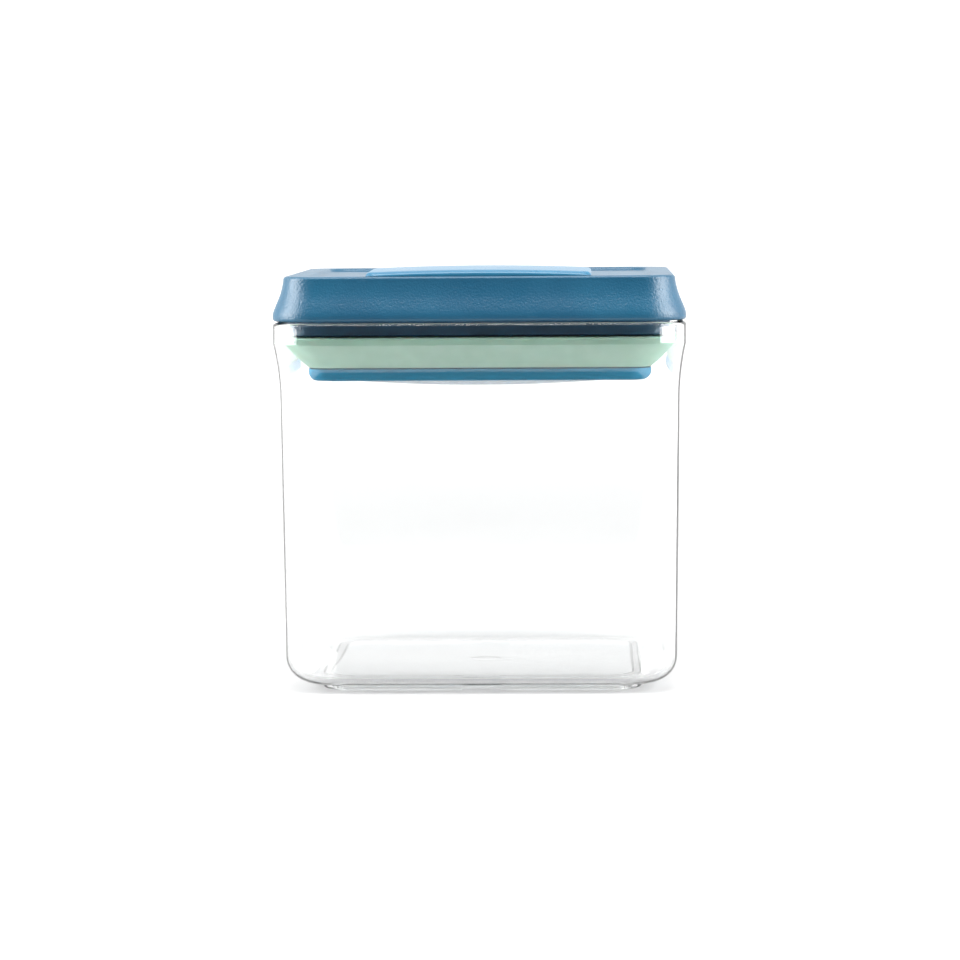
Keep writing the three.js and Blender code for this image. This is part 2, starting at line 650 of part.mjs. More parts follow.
function flipLever() {
  const outline = leverOutline(0, leverFront, LEVER_FRONT_CORNER);
  const blade = leverBlade().intersect(upright(outline, 0, LID_HEIGHT));
  const lipUnderside = LID_HEIGHT + TOUCH_GAP - pinHeight;
  const stepY = -recessFloorHalf + SWING_GAP;
  const underLip = box([-LEVER_WIDTH, leverFront - CUT_OVER, 0], [LEVER_WIDTH, stepY, lipUnderside]);
  const slotHalf = EYE_WIDTH / 2 + EYE_CLEARANCE;
  const cheeks = [-1, 1].map((side) => {
    const [near, far] = [side * slotHalf, side * CHEEK_OUTER];
    return crosswise(camOutline(), Math.min(near, far), Math.max(near, far));
  });
  const round = new THREE.Shape();
  round.absarc(0, 0, EYE_RADIUS + TOUCH_GAP, 0, 4 * RIGHT_ANGLE, false);
  const eyeRoom = crosswise(round, -slotHalf, slotHalf);
  const neckRoom = box([-slotHalf, 0, 0], [slotHalf, CAM_FREE + CUT_OVER, EYE_RADIUS + TOUCH_GAP]);
  const pinHole = new THREE.Shape();
  pinHole.absarc(0, 0, PIN_RADIUS + TOUCH_GAP, 0, 4 * RIGHT_ANGLE, false);
  const bore = crosswise(pinHole, -CHEEK_OUTER - CUT_OVER, CHEEK_OUTER + CUT_OVER);
  const cutters = [eyeRoom, neckRoom, bore, ...leverPockets()];
  const joined = cheeks.reduce((body, cheek) => body.add(cheek), blade.subtract(underLip));
  const cut = cutters.reduce((body, cutter) => body.subtract(cutter), joined);
  return piece("flip_lever", cut, bluePlastic(0x3a708f));
}

function leverPin() {
  const reach = CHEEK_OUTER - TOUCH_GAP;
  const geometry = new THREE.CylinderGeometry(PIN_RADIUS, PIN_RADIUS, 2 * reach, ROUND_STEPS / 2);
  return piece("lever_pin", solid(geometry.rotateZ(RIGHT_ANGLE)), steel());
}

// ---------- Assembly ----------

function group(z, ...children) {
  const made = new THREE.Group();
  made.position.z = z;
  made.add(...children);
  return made;
}

const lever = group(pinHeight, flipLever(), leverPin());
const clamp = group(plateTop, clampPlate(), clampCap(), drawStem(), stemWasher(), stemScrew());
const lid = group(lidSeat, lidCover(), lidLiner(), wearPad(), seal(), stemRing(), ...linerScrews(), clamp, lever);
const canister = group(0, jar(), lid);

export default canister;
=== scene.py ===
"""A square clear canister with a flip-lever clamp lid, fitted round the boxes of its parts."""

import math

import bmesh
import bpy
from mathutils import Euler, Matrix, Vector


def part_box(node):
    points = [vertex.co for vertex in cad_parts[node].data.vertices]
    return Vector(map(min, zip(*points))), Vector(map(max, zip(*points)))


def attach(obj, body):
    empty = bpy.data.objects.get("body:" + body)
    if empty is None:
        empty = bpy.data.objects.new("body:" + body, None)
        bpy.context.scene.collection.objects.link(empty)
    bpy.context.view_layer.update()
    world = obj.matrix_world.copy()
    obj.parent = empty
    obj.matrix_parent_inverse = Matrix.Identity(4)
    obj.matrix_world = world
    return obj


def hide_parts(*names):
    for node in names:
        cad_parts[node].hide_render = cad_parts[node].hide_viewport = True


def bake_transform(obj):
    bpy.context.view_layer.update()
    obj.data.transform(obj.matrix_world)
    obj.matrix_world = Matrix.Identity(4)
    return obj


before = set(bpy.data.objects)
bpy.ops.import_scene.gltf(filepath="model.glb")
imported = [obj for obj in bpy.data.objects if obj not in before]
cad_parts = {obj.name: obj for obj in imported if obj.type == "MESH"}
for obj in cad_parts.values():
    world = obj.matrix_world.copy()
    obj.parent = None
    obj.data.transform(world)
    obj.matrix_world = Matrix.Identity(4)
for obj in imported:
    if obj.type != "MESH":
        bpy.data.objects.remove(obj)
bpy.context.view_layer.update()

MM = 0.001  # the sizes of the canister below are in millimetres
CORNER_STEPS = 14  # facets round a plan corner
ROUND_STEPS = 64  # facets round a small turned part
SMOOTH_ANGLE = math.radians(32)
HOLD = 0.5  # extra loops this far from a bend keep the long flats flat
LEAST_CORNER = 0.5  # plan corner of the innermost loops


# ---------- Sizes, from the boxes of the parts ----------


def box_mm(node):
    low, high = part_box(node)
    return low / MM, high / MM


_, jar_high = box_mm("jar")
cover_low, cover_high = box_mm("lid_cover")
liner_low, liner_high = box_mm("lid_liner")
seal_low, seal_high = box_mm("seal")
plate_low, plate_high = box_mm("clamp_plate")
cap_low, cap_high = box_mm("clamp_cap")
lever_low, lever_high = box_mm("flip_lever")
pin_low, pin_high = box_mm("lever_pin")
screw_low, screw_high = box_mm("liner_screw_3")
pad_low, pad_high = box_mm("wear_pad")

TOUCH_GAP = 0.3
JAR_HALF = jar_high.x
JAR_TOP = jar_high.z
JAR_WALL = 2.2
JAR_CORNER = 13
RIM_BAND = 6.3  # height of the straight band under the rim
RIM_EDGE = 1.05
RIM_FLARE = 1.6  # how far the band stands out past the neck
FLARE_HEIGHT = 16
WALL_DRAFT = 1.1
BOTTOM_RADIUS = 8.5
FOOT_TOP = 1.7
FOOT_WIDTH = 2.6
FOOT_SLOPE = 0.2  # the inner face of the foot ring leans in by this
FOOT_INSET = 1.9
FOOT_CORNER = 10
FLOOR_UNDER = 1.2
FLOOR_TOP = 3.8
FLOOR_BLEND = 6  # width over which the floor runs into the bottom radius
GATE_RADIUS = 4
GATE_DEPTH = 0.4
NOTCH_WIDTH = 12.2
NOTCH_DEPTH = 0.7
NOTCH_SLOPE = 0.5

LID_SEAT = JAR_TOP + 0.4
LID_TOP = cover_high.z
LID_WALL = 2.2
TOP_HALF = 56.8
TOP_ROUND = 1
SKIRT_EDGE = 0.95  # rounding of the skirt's lower edge
SKIRT_RISE = 12
SKIRT_FOOT = 2.3  # height of the upright inner face at the skirt's lower edge
# How far the skirt has drawn in from the jar's width, and at what height over its seat.
SKIRT_CURVE = (
    (0, 1.0), (0.02, 1.9), (0.28, 2.9), (0.7, 4.0), (1.3, 5.4),
    (1.93, 6.9), (2.45, 8.4), (2.85, 9.9), (3.12, 11.3),
)
RECESS_HALF = 50
RECESS_SLOPE = 0.8
RECESS_FLOOR = LID_TOP - 1
CHANNEL_FLOOR = LID_TOP - 2
CHANNEL_FRONT = -(RECESS_HALF - RECESS_SLOPE)
RECESS_CORNER = 6
POST_RADIUS = 3.5
PILOT_RADIUS = 1.8
PILOT_RISE = 6.2  # how far over the lid's seat the screw holes reach
BED_MARGIN = 1.4  # how far the lever's bed stands out in front of the recess
POST_PLACE = (screw_low.x + screw_high.x) / 2
POST_SPOTS = [(x, y) for x in (-POST_PLACE, POST_PLACE) for y in (-POST_PLACE, POST_PLACE)]
JOIN = 0.5  # how far pieces that are joined reach into each other

COLLAR_HALF = 55.3
COLLAR_WALL = 2
COLLAR_DEPTH = 4.3
LINER_WEB = 2.2
LINER_JOIN = 0.7  # how far the tower and the rib reach into the liner's web
FLANGE_LOW = 0.3  # the flange's faces, over the lid's seat
FLANGE_HIGH = 2.1
STEM_BORE = 4.3
GROOVE_RADIUS = 6.4
GROOVE_LOW = 1.5  # the groove for the ring, over the collar's lower face
GROOVE_HIGH = 3.9

PLATE_CORNER = 7
PLATE_HALF = plate_high.x
PLATE_ROUND = 2.5
PLATE_WEB = 2.2
PLATE_SKIRT = 0.6  # the plate's edge hangs this far below its box
RIB_HALF = 46.2
RIB_WALL = 1.6
RIB_CORNER = PLATE_CORNER - 2.5
SEAL_LIP = 0.6  # height of the seal's rounded lip
SEAL_BOW = 0.3  # share by which the seal's flare bows out of straight
# The lip's rounding: how far in from its edge, and how far under its top.
LIP_CURVE = ((0, 0.42), (0.08, 0.2), (0.3, 0.05), (0.6, 0))
CAP_EDGE = 0.5
CAP_WALL = 1.8
CAP_THICK = 0.8
CAP_FLATTER = 0.9  # the hollow rises this much less than the dome drops

LEVER_HALF = lever_high.x
LEVER_REAR = -6.5  # where the wide part of the lever ends
LEVER_REAR_CORNER = 8
LEVER_FRONT_CORNER = 2.5
LEVER_EDGE = 1.3  # rounding along the blade's sides
TAB_EDGE = 0.5
LEVER_STEP = 1.5  # distance between the blade's cross-sections
LEVER_LIP = LID_TOP + 0.08  # underside of the lip that lies over the lid's rim
LEVER_ROLL = 2.6  # length of the rolled-over front end
LEVER_ROLL_DROP = 1.28
CROWN_ACROSS = 0.7
CROWN_ALONG = 0.4
LEVER_RIB = 2.4
POCKET_DEPTH = 1.6
PIN_HOLE = 1.8
CHEEK_JOIN = 0.8  # how far the cheeks reach up into the blade
CHEEK_OUTER = 11.5
CHEEK_GAP = 0.7
CAM_FREE = 2.7
CAM_LOCKED = 5.2
CAM_HEEL = 6
EYE_RADIUS = 3.3
PIN_HEIGHT = (pin_low.z + pin_high.z) / 2
SLOT_HALF = 4.3
SWING_GAP = 0.6


# ---------- Mesh helpers ----------


def new_object(name, vertices, faces):
    mesh = bpy.data.meshes.new(name)
    mesh.from_pydata([Vector(v) * MM for v in vertices], [], faces)
    made = bpy.data.objects.new(name, mesh)
    bpy.context.scene.collection.objects.link(made)
    work = bmesh.new()
    work.from_mesh(mesh)
    bmesh.ops.remove_doubles(work, verts=work.verts, dist=1e-3 * MM)
    bmesh.ops.recalc_face_normals(work, faces=work.faces)
    work.to_mesh(mesh)
    work.free()
    return made


def smooth(made, angle=SMOOTH_ANGLE):
    made.data.polygons.foreach_set("use_smooth", [True] * len(made.data.polygons))
    made.data.set_sharp_from_angle(angle=angle)
    return made


def eased(path, steps=4):
    """A path of (out, up, radius) whose corners are rounded by the third number."""
    points = []
    for i, (out, up, radius) in enumerate(path):
        here = Vector((out, up))
        if radius == 0 or i in (0, len(path) - 1):
            points.append(here)
            continue
        before = Vector(path[i - 1][:2]) - here
        after = Vector(path[i + 1][:2]) - here
        reach = min(radius, before.length * 0.49, after.length * 0.49)
        start = here + before.normalized() * reach
        end = here + after.normalized() * reach
        for step in range(steps + 1):
            t = step / steps
            points.append(start * (1 - t) ** 2 + here * (2 * t * (1 - t)) + end * t**2)
    return points


def curved(points, steps=5):
    """A smooth curve through points, with steps pieces between each two."""
    last = len(points) - 1
    vectors = [Vector(p) for p in points]
    curve = []
    for i in range(last):
        a, b = vectors[max(i - 1, 0)], vectors[i]
        c, d = vectors[i + 1], vectors[min(i + 2, last)]
        for step in range(steps):
            t = step / steps
            square = (2 * a - 5 * b + 4 * c - d) * t**2
            cube = (3 * b - a - 3 * c + d) * t**3
            curve.append(0.5 * (2 * b + (c - a) * t + square + cube))
    return curve + [vectors[-1]]


def arc(out, up, radius, start, end, steps):
    turns = [math.radians(start + (end - start) * i / steps) for i in range(steps + 1)]
    return [Vector((out + radius * math.cos(t), up + radius * math.sin(t))) for t in turns]


def held(path):
    """Adds a loop near both ends of each long run, so that smooth shading stays in the bends."""
    points = [path[0]]
    for here, after in zip(path, path[1:]):
        run = Vector(after) - Vector(here)
        if Vector(run[:2]).length > 4 * HOLD:
            share = HOLD / Vector(run[:2]).length
            points.append(Vector(here) + run * share)
            points.append(Vector(here) + run * (1 - share))
        points.append(after)
    return points


def square_ring(half, up, corner):
    """One loop of a square with rounded corners; a half of 0 is the middle point."""
    corner = max(min(corner, half), 1e-4)
    near = (half - corner) if half > corner else 0
    flats = (0.04, 0.3, 0.7, 0.96)  # shares of a straight side that get a point
    ring = []
    for quarter in range(4):
        side = math.radians(45 + 90 * quarter)
        centre = Vector((math.copysign(near, math.cos(side)), math.copysign(near, math.sin(side))))
        for step in range(CORNER_STEPS + 1):
            turn = math.radians(90 * (quarter + step / CORNER_STEPS))
            ring.append(centre + Vector((math.cos(turn), math.sin(turn))) * corner)
        end = ring[-1]
        heading = math.radians(90 * (quarter + 1))
        run = Vector((-math.sin(heading), math.cos(heading))) * 2 * near
        ring.extend(end + run * share for share in flats)
    return [(x, y, up) for x, y in ring]


def squared(name, path, closed=False):
    """Sweeps a path of (half, up, corner) round a square with rounded corners."""
    rings = [square_ring(*point) for point in path]
    count = len(rings[0])
    vertices = [vertex for ring in rings for vertex in ring]
    faces = []
    rows = len(rings) if closed else len(rings) - 1
    for row in range(rows):
        low, high = row * count, ((row + 1) % len(rings)) * count
        for i in range(count):
            j = (i + 1) % count
            faces.append((low + i, low + j, high + j, high + i))
    if not closed:
        faces.append(tuple(reversed(range(count))))
        faces.append(tuple(range((len(rings) - 1) * count, len(rings) * count)))
    return new_object(name, vertices, faces)


def prism(name, outline, low, high, axis="Z"):
    """An outline drawn across an axis, standing from low to high along it."""
    place = {"Z": lambda u, v, w: (u, v, w), "X": lambda u, v, w: (w, u, v)}[axis]
    count = len(outline)
    vertices = [place(u, v, low) for u, v in outline] + [place(u, v, high) for u, v in outline]
    faces = [tuple(reversed(range(count))), tuple(range(count, 2 * count))]
    faces += [(i, (i + 1) % count, count + (i + 1) % count, count + i) for i in range(count)]
    return new_object(name, vertices, faces)


def block(name, low, high):
    outline = [(low[0], low[1]), (high[0], low[1]), (high[0], high[1]), (low[0], high[1])]
    return prism(name, outline, low[2], high[2])


def circle(radius, x=0, y=0, steps=ROUND_STEPS):
    return [tuple(p) for p in arc(x, y, radius, 0, 360 * (1 - 1 / steps), steps - 1)]


def fixed_mesh(made):
    """Bakes an object's modifiers into its mesh."""
    graph = bpy.context.evaluated_depsgraph_get()
    old = made.data
    made.data = bpy.data.meshes.new_from_object(made.evaluated_get(graph))
    made.modifiers.clear()
    bpy.data.meshes.remove(old)
    return made


def shaped(made, tools, operation="DIFFERENCE"):
    """Joins tools to an object or cuts them out of it."""
    for tool in tools:
        cut = made.modifiers.new("shape", "BOOLEAN")
        cut.operation = operation
        cut.solver = "EXACT"
        cut.object = tool
    fixed_mesh(made)
    for tool in tools:
        bpy.data.objects.remove(tool)
    return made


def softened(made, width, segments=2, angle=38):
    """Rounds the sharp edges that joining and cutting leave."""
    bevel = made.modifiers.new("edges", "BEVEL")
    bevel.width = width * MM
    bevel.segments = segments
    bevel.limit_method = "ANGLE"
    bevel.angle_limit = math.radians(angle)
    bevel.miter_outer = "MITER_ARC"
    fixed_mesh(made)
    return made


def weighted(made):
    """Lets the large flats lead the shading."""
    smooth(made)
    normals = made.modifiers.new("normals", "WEIGHTED_NORMAL")
    normals.keep_sharp = True
    normals.weight = 80
    return fixed_mesh(made)


# ---------- Jar ----------


def with_corner(points, corner_at):
    """Gives every point of a path the plan corner that belongs to its distance out."""
    return [(p[0], p[1], corner_at(p[0])) for p in points]


def jar_corner(half):
    """The corner of a loop that keeps an even gap to the jar's own."""
    return max(JAR_CORNER + half - JAR_HALF, LEAST_CORNER)


def jar_side(inset):
    """The wall from the foot of its bottom radius up to the rim band, moved in by inset."""
    base_half = JAR_HALF - RIM_FLARE - WALL_DRAFT
    radius = BOTTOM_RADIUS - inset
    bend = arc(base_half - BOTTOM_RADIUS, FOOT_TOP + BOTTOM_RADIUS, radius, -90, 0, 16)
    neck_half = JAR_HALF - RIM_FLARE - inset
    band_bottom = JAR_TOP - RIM_BAND
    wall_height = band_bottom - FOOT_TOP - BOTTOM_RADIUS
    flare = []
    for i in range(15):
        t = i / 14
        drop = FLARE_HEIGHT * (1 - t)
        half = neck_half + RIM_FLARE * t * t - WALL_DRAFT * drop / wall_height
        flare.append(Vector((half, band_bottom - drop)))
    path = bend + flare
    start = base_half - BOTTOM_RADIUS

    def corner_at(half):
        share = min(max((half - start) / radius, 0), 1)
        low, high = FOOT_CORNER - inset, JAR_CORNER - inset
        return low + (high - low) * share

    return with_corner(held(path), corner_at)


def make_jar():
    foot_half = JAR_HALF - RIM_FLARE - WALL_DRAFT - BOTTOM_RADIUS - FOOT_INSET
    inner_foot = foot_half - FOOT_WIDTH
    under = eased(
        [
            (0, FLOOR_UNDER + GATE_DEPTH, 0),
            (GATE_RADIUS, FLOOR_UNDER + GATE_DEPTH, 0.15),
            (GATE_RADIUS + GATE_DEPTH, FLOOR_UNDER, 0.15),
            (inner_foot, FLOOR_UNDER, 0.3),
            (inner_foot + FOOT_SLOPE, 0, 0.3),
            (foot_half, 0, 0.4),
            (foot_half, FOOT_TOP, 0.2),
            (foot_half + FOOT_INSET, FOOT_TOP, 0),
        ]
    )

    def foot_corner(half):
        return half if half < FOOT_CORNER else FOOT_CORNER + min(half - foot_half, 0)

    foot = with_corner(held(under), foot_corner)
    level = JAR_TOP - RIM_EDGE
    rim = arc(JAR_HALF - RIM_EDGE, level, RIM_EDGE, 0, 90, 6)
    rim += arc(JAR_HALF - JAR_WALL + RIM_EDGE, level, RIM_EDGE, 90, 180, 6)
    band_bottom = JAR_TOP - RIM_BAND
    outer_band = [Vector((JAR_HALF, band_bottom)), rim[0]]
    inner_band = [rim[-1], Vector((JAR_HALF - JAR_WALL, band_bottom))]
    rim_path = held(outer_band)[1:-1] + rim + held(inner_band)[1:-1]
    rim_path = with_corner(rim_path, lambda half: JAR_CORNER + half - JAR_HALF)
    outside = jar_side(0)
    inside = jar_side(JAR_WALL)
    floor_half, _, floor_corner = inside[0]
    lift = FLOOR_TOP - inside[0][1]
    inside = [
        (half, up + lift * max(0, 1 - (half - floor_half) / FLOOR_BLEND) ** 2, corner)
        for half, up, corner in inside
    ]
    floor = [
        (floor_half - HOLD, FLOOR_TOP, floor_corner),
        (0.5, FLOOR_TOP, 0.5),
        (0, FLOOR_TOP, 0),
    ]
    jar = squared("jar_body", foot + outside + rim_path + inside[::-1] + floor)
    reach = foot_half + 1
    side = NOTCH_WIDTH / 2
    outline = [(-side, -1), (side, -1), (side - NOTCH_SLOPE, NOTCH_DEPTH)]
    outline.append((-side + NOTCH_SLOPE, NOTCH_DEPTH))
    notch = prism("notch", outline, -reach, reach)
    lie_along_y = Euler((math.radians(90), 0, 0)).to_matrix().to_4x4()
    notch.data.transform(lie_along_y)
    shaped(jar, [notch])
    return weighted(jar)


# ---------- Lid cover ----------


def lever_outline(grow, front, front_corner):
    """The lever from above: wide at the front, a tab over the pin at the rear.

    Its front corners are square unless front_corner rounds them.
    """
    half = LEVER_HALF + grow
    rear = LEVER_REAR + grow
    rear_corner = LEVER_REAR_CORNER + grow
    points = []
    if front_corner:
        points += arc(-half + front_corner, front + front_corner, front_corner, -90, -180, 8)
    else:
        points += [Vector((-half, front))]
    points += arc(-half + rear_corner, rear - rear_corner, rear_corner, 180, 90, 12)
    points += [Vector(p) for p in ((-CHEEK_OUTER, rear), (-CHEEK_OUTER, CAM_FREE))]
    mirrored = [Vector((-p.x, p.y)) for p in reversed(points)]
    return [tuple(p) for p in (points + mirrored)][::-1]


def make_cover():
    skirt = [(JAR_HALF - inward, LID_SEAT + rise) for inward, rise in SKIRT_CURVE]
    skirt.append((TOP_HALF, LID_SEAT + SKIRT_RISE))
    inner_half = JAR_HALF - LID_WALL
    under_level = RECESS_FLOOR - LID_WALL
    underside = eased(
        [
            (0, under_level, 0),
            (TOP_HALF - LID_WALL, under_level, 0.8),
            (inner_half, LID_SEAT + SKIRT_FOOT, 0.8),
            (inner_half, LID_SEAT, 0.3),
            (inner_half + 0.6, LID_SEAT, 0),
        ]
    )
    edge = arc(JAR_HALF - SKIRT_EDGE, LID_SEAT + SKIRT_EDGE, SKIRT_EDGE, -90, 0, 7)
    top = arc(TOP_HALF - TOP_ROUND, LID_TOP - TOP_ROUND, TOP_ROUND, 0, 90, 7)
    recess = eased(
        [
            (TOP_HALF - 1.5, LID_TOP, 0),
            (RECESS_HALF, LID_TOP, 0.5),
            (RECESS_HALF - RECESS_SLOPE, RECESS_FLOOR, 0.5),
            (0, RECESS_FLOOR, 0),
        ]
    )

    def corner_at(half):
        outer = JAR_CORNER + half - JAR_HALF
        inner = RECESS_CORNER + half - RECESS_HALF
        share = min(max((half - RECESS_HALF) / (TOP_HALF - TOP_ROUND - RECESS_HALF), 0), 1)
        return max(inner + (outer - inner) * share, LEAST_CORNER)

    outside = held(edge + curved(skirt)[1:] + top[1:])
    outside = with_corner(outside, lambda half: JAR_CORNER + half - JAR_HALF)
    inside = with_corner(held(underside), jar_corner)
    cover = squared("cover_shell", inside + outside + with_corner(held(recess), corner_at))

    bed_half = LEVER_HALF + SWING_GAP + LID_WALL
    bed_rear = LID_WALL + LEVER_REAR + SWING_GAP
    bed_bottom = CHANNEL_FLOOR - LID_WALL
    bed_front = -(RECESS_HALF + BED_MARGIN)
    bed_top = under_level + JOIN
    bed = block("bed", (-bed_half, bed_front, bed_bottom), (bed_half, bed_rear, bed_top))
    posts = []
    pilots = []
    for x, y in POST_SPOTS:
        posts.append(prism("post", circle(POST_RADIUS, x, y), cover_low.z, bed_top))
        pilot = circle(PILOT_RADIUS, x, y)
        pilots.append(prism("pilot", pilot, cover_low.z - 1, LID_SEAT + PILOT_RISE))
    shaped(cover, [bed] + posts, "UNION")
    outline = lever_outline(SWING_GAP, CHANNEL_FRONT, 0)
    channel = prism("channel", outline, CHANNEL_FLOOR, LID_TOP + 1)
    window = block(
        "window",
        (-CHEEK_OUTER - CHEEK_GAP, pad_low.y - TOUCH_GAP, bed_bottom - 1),
        (CHEEK_OUTER + CHEEK_GAP, pad_high.y + TOUCH_GAP, LID_TOP),
    )
    shaped(cover, [channel, window] + pilots)
    return weighted(softened(cover, 0.25))


# ---------- Lid liner ----------


def square_rib(name, outer, low, high):
    """An upright square wall with its outer face at outer, from low to high."""
    path = eased(
        [
            (outer, low, 0),
            (outer, high, 0.3),
            (outer - RIB_WALL, high, 0.3),
            (outer - RIB_WALL, low, 0),
        ]
    )
    ring = with_corner(path, lambda half: RIB_CORNER + half - outer)
    return squared(name, ring, closed=True)


def make_liner():
    collar_bottom = LID_SEAT - COLLAR_DEPTH
    web_top = collar_bottom + LINER_WEB
    flange_half = liner_high.x
    inner_half = COLLAR_HALF - COLLAR_WALL
    path = eased(
        [
            (0, collar_bottom, 0),
            (COLLAR_HALF, collar_bottom, 0.7),
            (COLLAR_HALF, LID_SEAT + FLANGE_LOW, 0.3),
            (flange_half, LID_SEAT + FLANGE_LOW, 0.3),
            (flange_half, LID_SEAT + FLANGE_HIGH, 0.3),
            (inner_half, LID_SEAT + FLANGE_HIGH, 0.4),
            (inner_half, web_top, 0.8),
            (0, web_top, 0),
        ]
    )
    liner = squared("liner_tray", with_corner(held(path), jar_corner))
    join_level = collar_bottom + LINER_JOIN
    tower = block(
        "tower",
        (-CHEEK_OUTER - CHEEK_GAP, pad_low.y - TOUCH_GAP, join_level),
        (CHEEK_OUTER + CHEEK_GAP, pad_high.y + TOUCH_GAP, liner_high.z),
    )
    rib = square_rib("rib", RIB_HALF, liner_low.z, join_level)
    shaped(liner, [tower, rib], "UNION")
    bores = [prism("bore", circle(STEM_BORE), collar_bottom - 1, liner_high.z + 1)]
    groove = (collar_bottom + GROOVE_LOW, collar_bottom + GROOVE_HIGH)
    bores.append(prism("groove", circle(GROOVE_RADIUS), *groove))
    for x, y in POST_SPOTS:
        bores.append(prism("hole", circle(PILOT_RADIUS, x, y), collar_bottom - 1, web_top + 1))
    shaped(liner, bores)
    return weighted(softened(liner, 0.2))


# ---------- Seal ----------


def make_seal():
    """A hollow square ring that flares up and out to a rounded lip."""
    lip_half = seal_high.x
    height = seal_high.z - seal_low.z
    inner = RIB_HALF + TOUCH_GAP
    flare = []
    for i in range(25):
        t = i / 24
        share = t + SEAL_BOW * t * (1 - t)
        half = PLATE_HALF + (lip_half - PLATE_HALF) * share
        flare.append(Vector((half, seal_low.z + (height - SEAL_LIP) * t)))
    rounded = [Vector((lip_half - inward, seal_high.z - under)) for inward, under in LIP_CURVE]
    inside = eased(
        [
            (lip_half - 2, seal_high.z, 0),
            (inner, seal_high.z, 0.3),
            (inner, seal_low.z, 0.3),
            (PLATE_HALF - 1, seal_low.z, 0),
            (PLATE_HALF - 0.3, seal_low.z, 0),
        ]
    )
    path = flare + rounded + inside

    def corner_at(half):
        share = min(max((half - PLATE_HALF) / (lip_half - PLATE_HALF), 0), 1)
        inner_corner = RIB_CORNER + TOUCH_GAP
        if half < PLATE_HALF:
            across = (PLATE_CORNER - inner_corner) * (half - inner) / (PLATE_HALF - inner)
            return inner_corner + across
        return PLATE_CORNER + (JAR_CORNER - JAR_HALF + lip_half - PLATE_CORNER) * share

    ring = with_corner(path, corner_at)
    return smooth(squared("seal_ring", ring, closed=True))


# ---------- Clamp plate and cap ----------


def make_plate():
    top = seal_low.z - TOUCH_GAP
    bottom = plate_low.z - PLATE_SKIRT
    flat = PLATE_HALF - PLATE_ROUND
    path = eased(
        [
            (0, top - PLATE_WEB, 0),
            (RIB_HALF, top - PLATE_WEB, 0.2),
            (RIB_HALF, bottom, 0.3),
            (flat, bottom, 0),
        ]
    )
    path += arc(flat, bottom + PLATE_ROUND, PLATE_ROUND, -90, 0, 10)[1:]
    path += eased([(PLATE_HALF, bottom + 2.6, 0), (PLATE_HALF, top, 0.3), (0, top, 0)])

    def corner_at(half):
        return max(PLATE_CORNER + half - PLATE_HALF, LEAST_CORNER)

    plate = squared("plate_body", with_corner(held(path), corner_at))
    rib = square_rib("rib", RIB_HALF, top - PLATE_WEB / 2, plate_high.z)
    shaped(plate, [rib], "UNION")
    hole = prism("hole", circle(PILOT_RADIUS), top - PLATE_WEB - 1, top + 1)
    shaped(plate, [hole])
    return weighted(softened(plate, 0.15))


def make_cap():
    """A shallow square dome, hollow above."""
    reach = cap_high.x
    rim_top = cap_high.z
    rim_bottom = cap_high.z - CAP_EDGE
    drop = rim_bottom - cap_low.z
    inner = reach - CAP_WALL
    low_corner = RIB_CORNER - TOUCH_GAP

    def corner_at(half):
        share = half / reach
        return max(half * (1 - share) + low_corner * share, 0.01)

    def dome(half, level, rise):
        shares = [math.sin(math.radians(90 * i / 22)) for i in range(23)]
        return [Vector((half * t, level - rise * (1 - t * t))) for t in shares]

    outside = dome(reach, rim_bottom, drop)
    edge = [Vector((reach, rim_top)), Vector((inner, rim_top))]
    inside = dome(inner, rim_top - CAP_THICK, drop - CAP_FLATTER)[::-1]
    cap = squared("plate_cap", with_corner(outside + edge + inside, corner_at))
    return weighted(cap)


# ---------- Lever ----------


def lever_top(across, y, front, rear):
    """Height of the lever's top, crowned both ways; across runs from -1 to 1."""
    middle, length = (front + rear) / 2, rear - front
    along = (y - middle) / (length / 2)
    side_top = lever_high.z - CROWN_ACROSS
    return side_top + CROWN_ACROSS * (1 - across**2) - CROWN_ALONG * along**2


def lever_section(y, half, under, front, rear, drop, edge=LEVER_EDGE):
    """One cross-section of the blade, from its lower left corner round over the top."""
    half = max(half, 1)
    section = [(-half, under)]
    count = 40
    for i in range(count + 1):
        across = math.sin(math.radians(-90 + 180 * i / count))
        x = half * across
        top = lever_top(x / LEVER_HALF, y, front, rear) - drop
        near = half - abs(x)
        if near < edge:
            top -= edge - math.sqrt(max(edge**2 - (edge - near) ** 2, 0))
        section.append((x, max(top, under + 0.05)))
    section.append((half, under))
    return [(x, y, z) for x, z in section]


